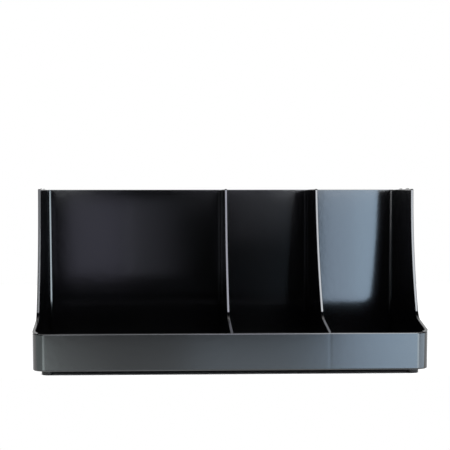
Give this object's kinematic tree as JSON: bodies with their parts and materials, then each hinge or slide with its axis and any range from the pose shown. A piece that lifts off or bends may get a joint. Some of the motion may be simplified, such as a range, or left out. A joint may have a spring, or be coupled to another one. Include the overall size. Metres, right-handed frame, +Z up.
{
  "type": "bar organizer",
  "caption": "Open-front countertop organizer: shallow tray on rubber feet, tall back panel, swept side walls and lift-out dividers that part it into compartments for napkins, lids and straws.",
  "frame": {"origin": "under the middle of the organizer, on the surface that its feet stand on", "axes": "+X to the right seen from the front, +Y from front to back, +Z up"},
  "size_m": [0.4098, 0.204, 0.1915],
  "materials": {
    "black_plastic": "high-gloss moulded black",
    "foot_rubber": "matt black"
  },
  "bodies": {
    "organizer": {"base_tray": "black_plastic", "back_panel": "black_plastic", "left_side_wall": "black_plastic", "right_side_wall": "black_plastic", "front_left_foot": "foot_rubber", "front_right_foot": "foot_rubber", "rear_left_foot": "foot_rubber", "rear_right_foot": "foot_rubber"},
    "centre_divider": {"centre_divider": "black_plastic"},
    "right_divider": {"right_divider": "black_plastic"}
  },
  "joints": [
    {"name": "centre_divider_lift", "type": "slide", "parent": "organizer", "child": "centre_divider", "axis": [0, 0, 1], "range_m": [0, 0.19]},
    {"name": "right_divider_lift", "type": "slide", "parent": "organizer", "child": "right_divider", "axis": [0, 0, 1], "range_m": [0, 0.19]}
  ]
}
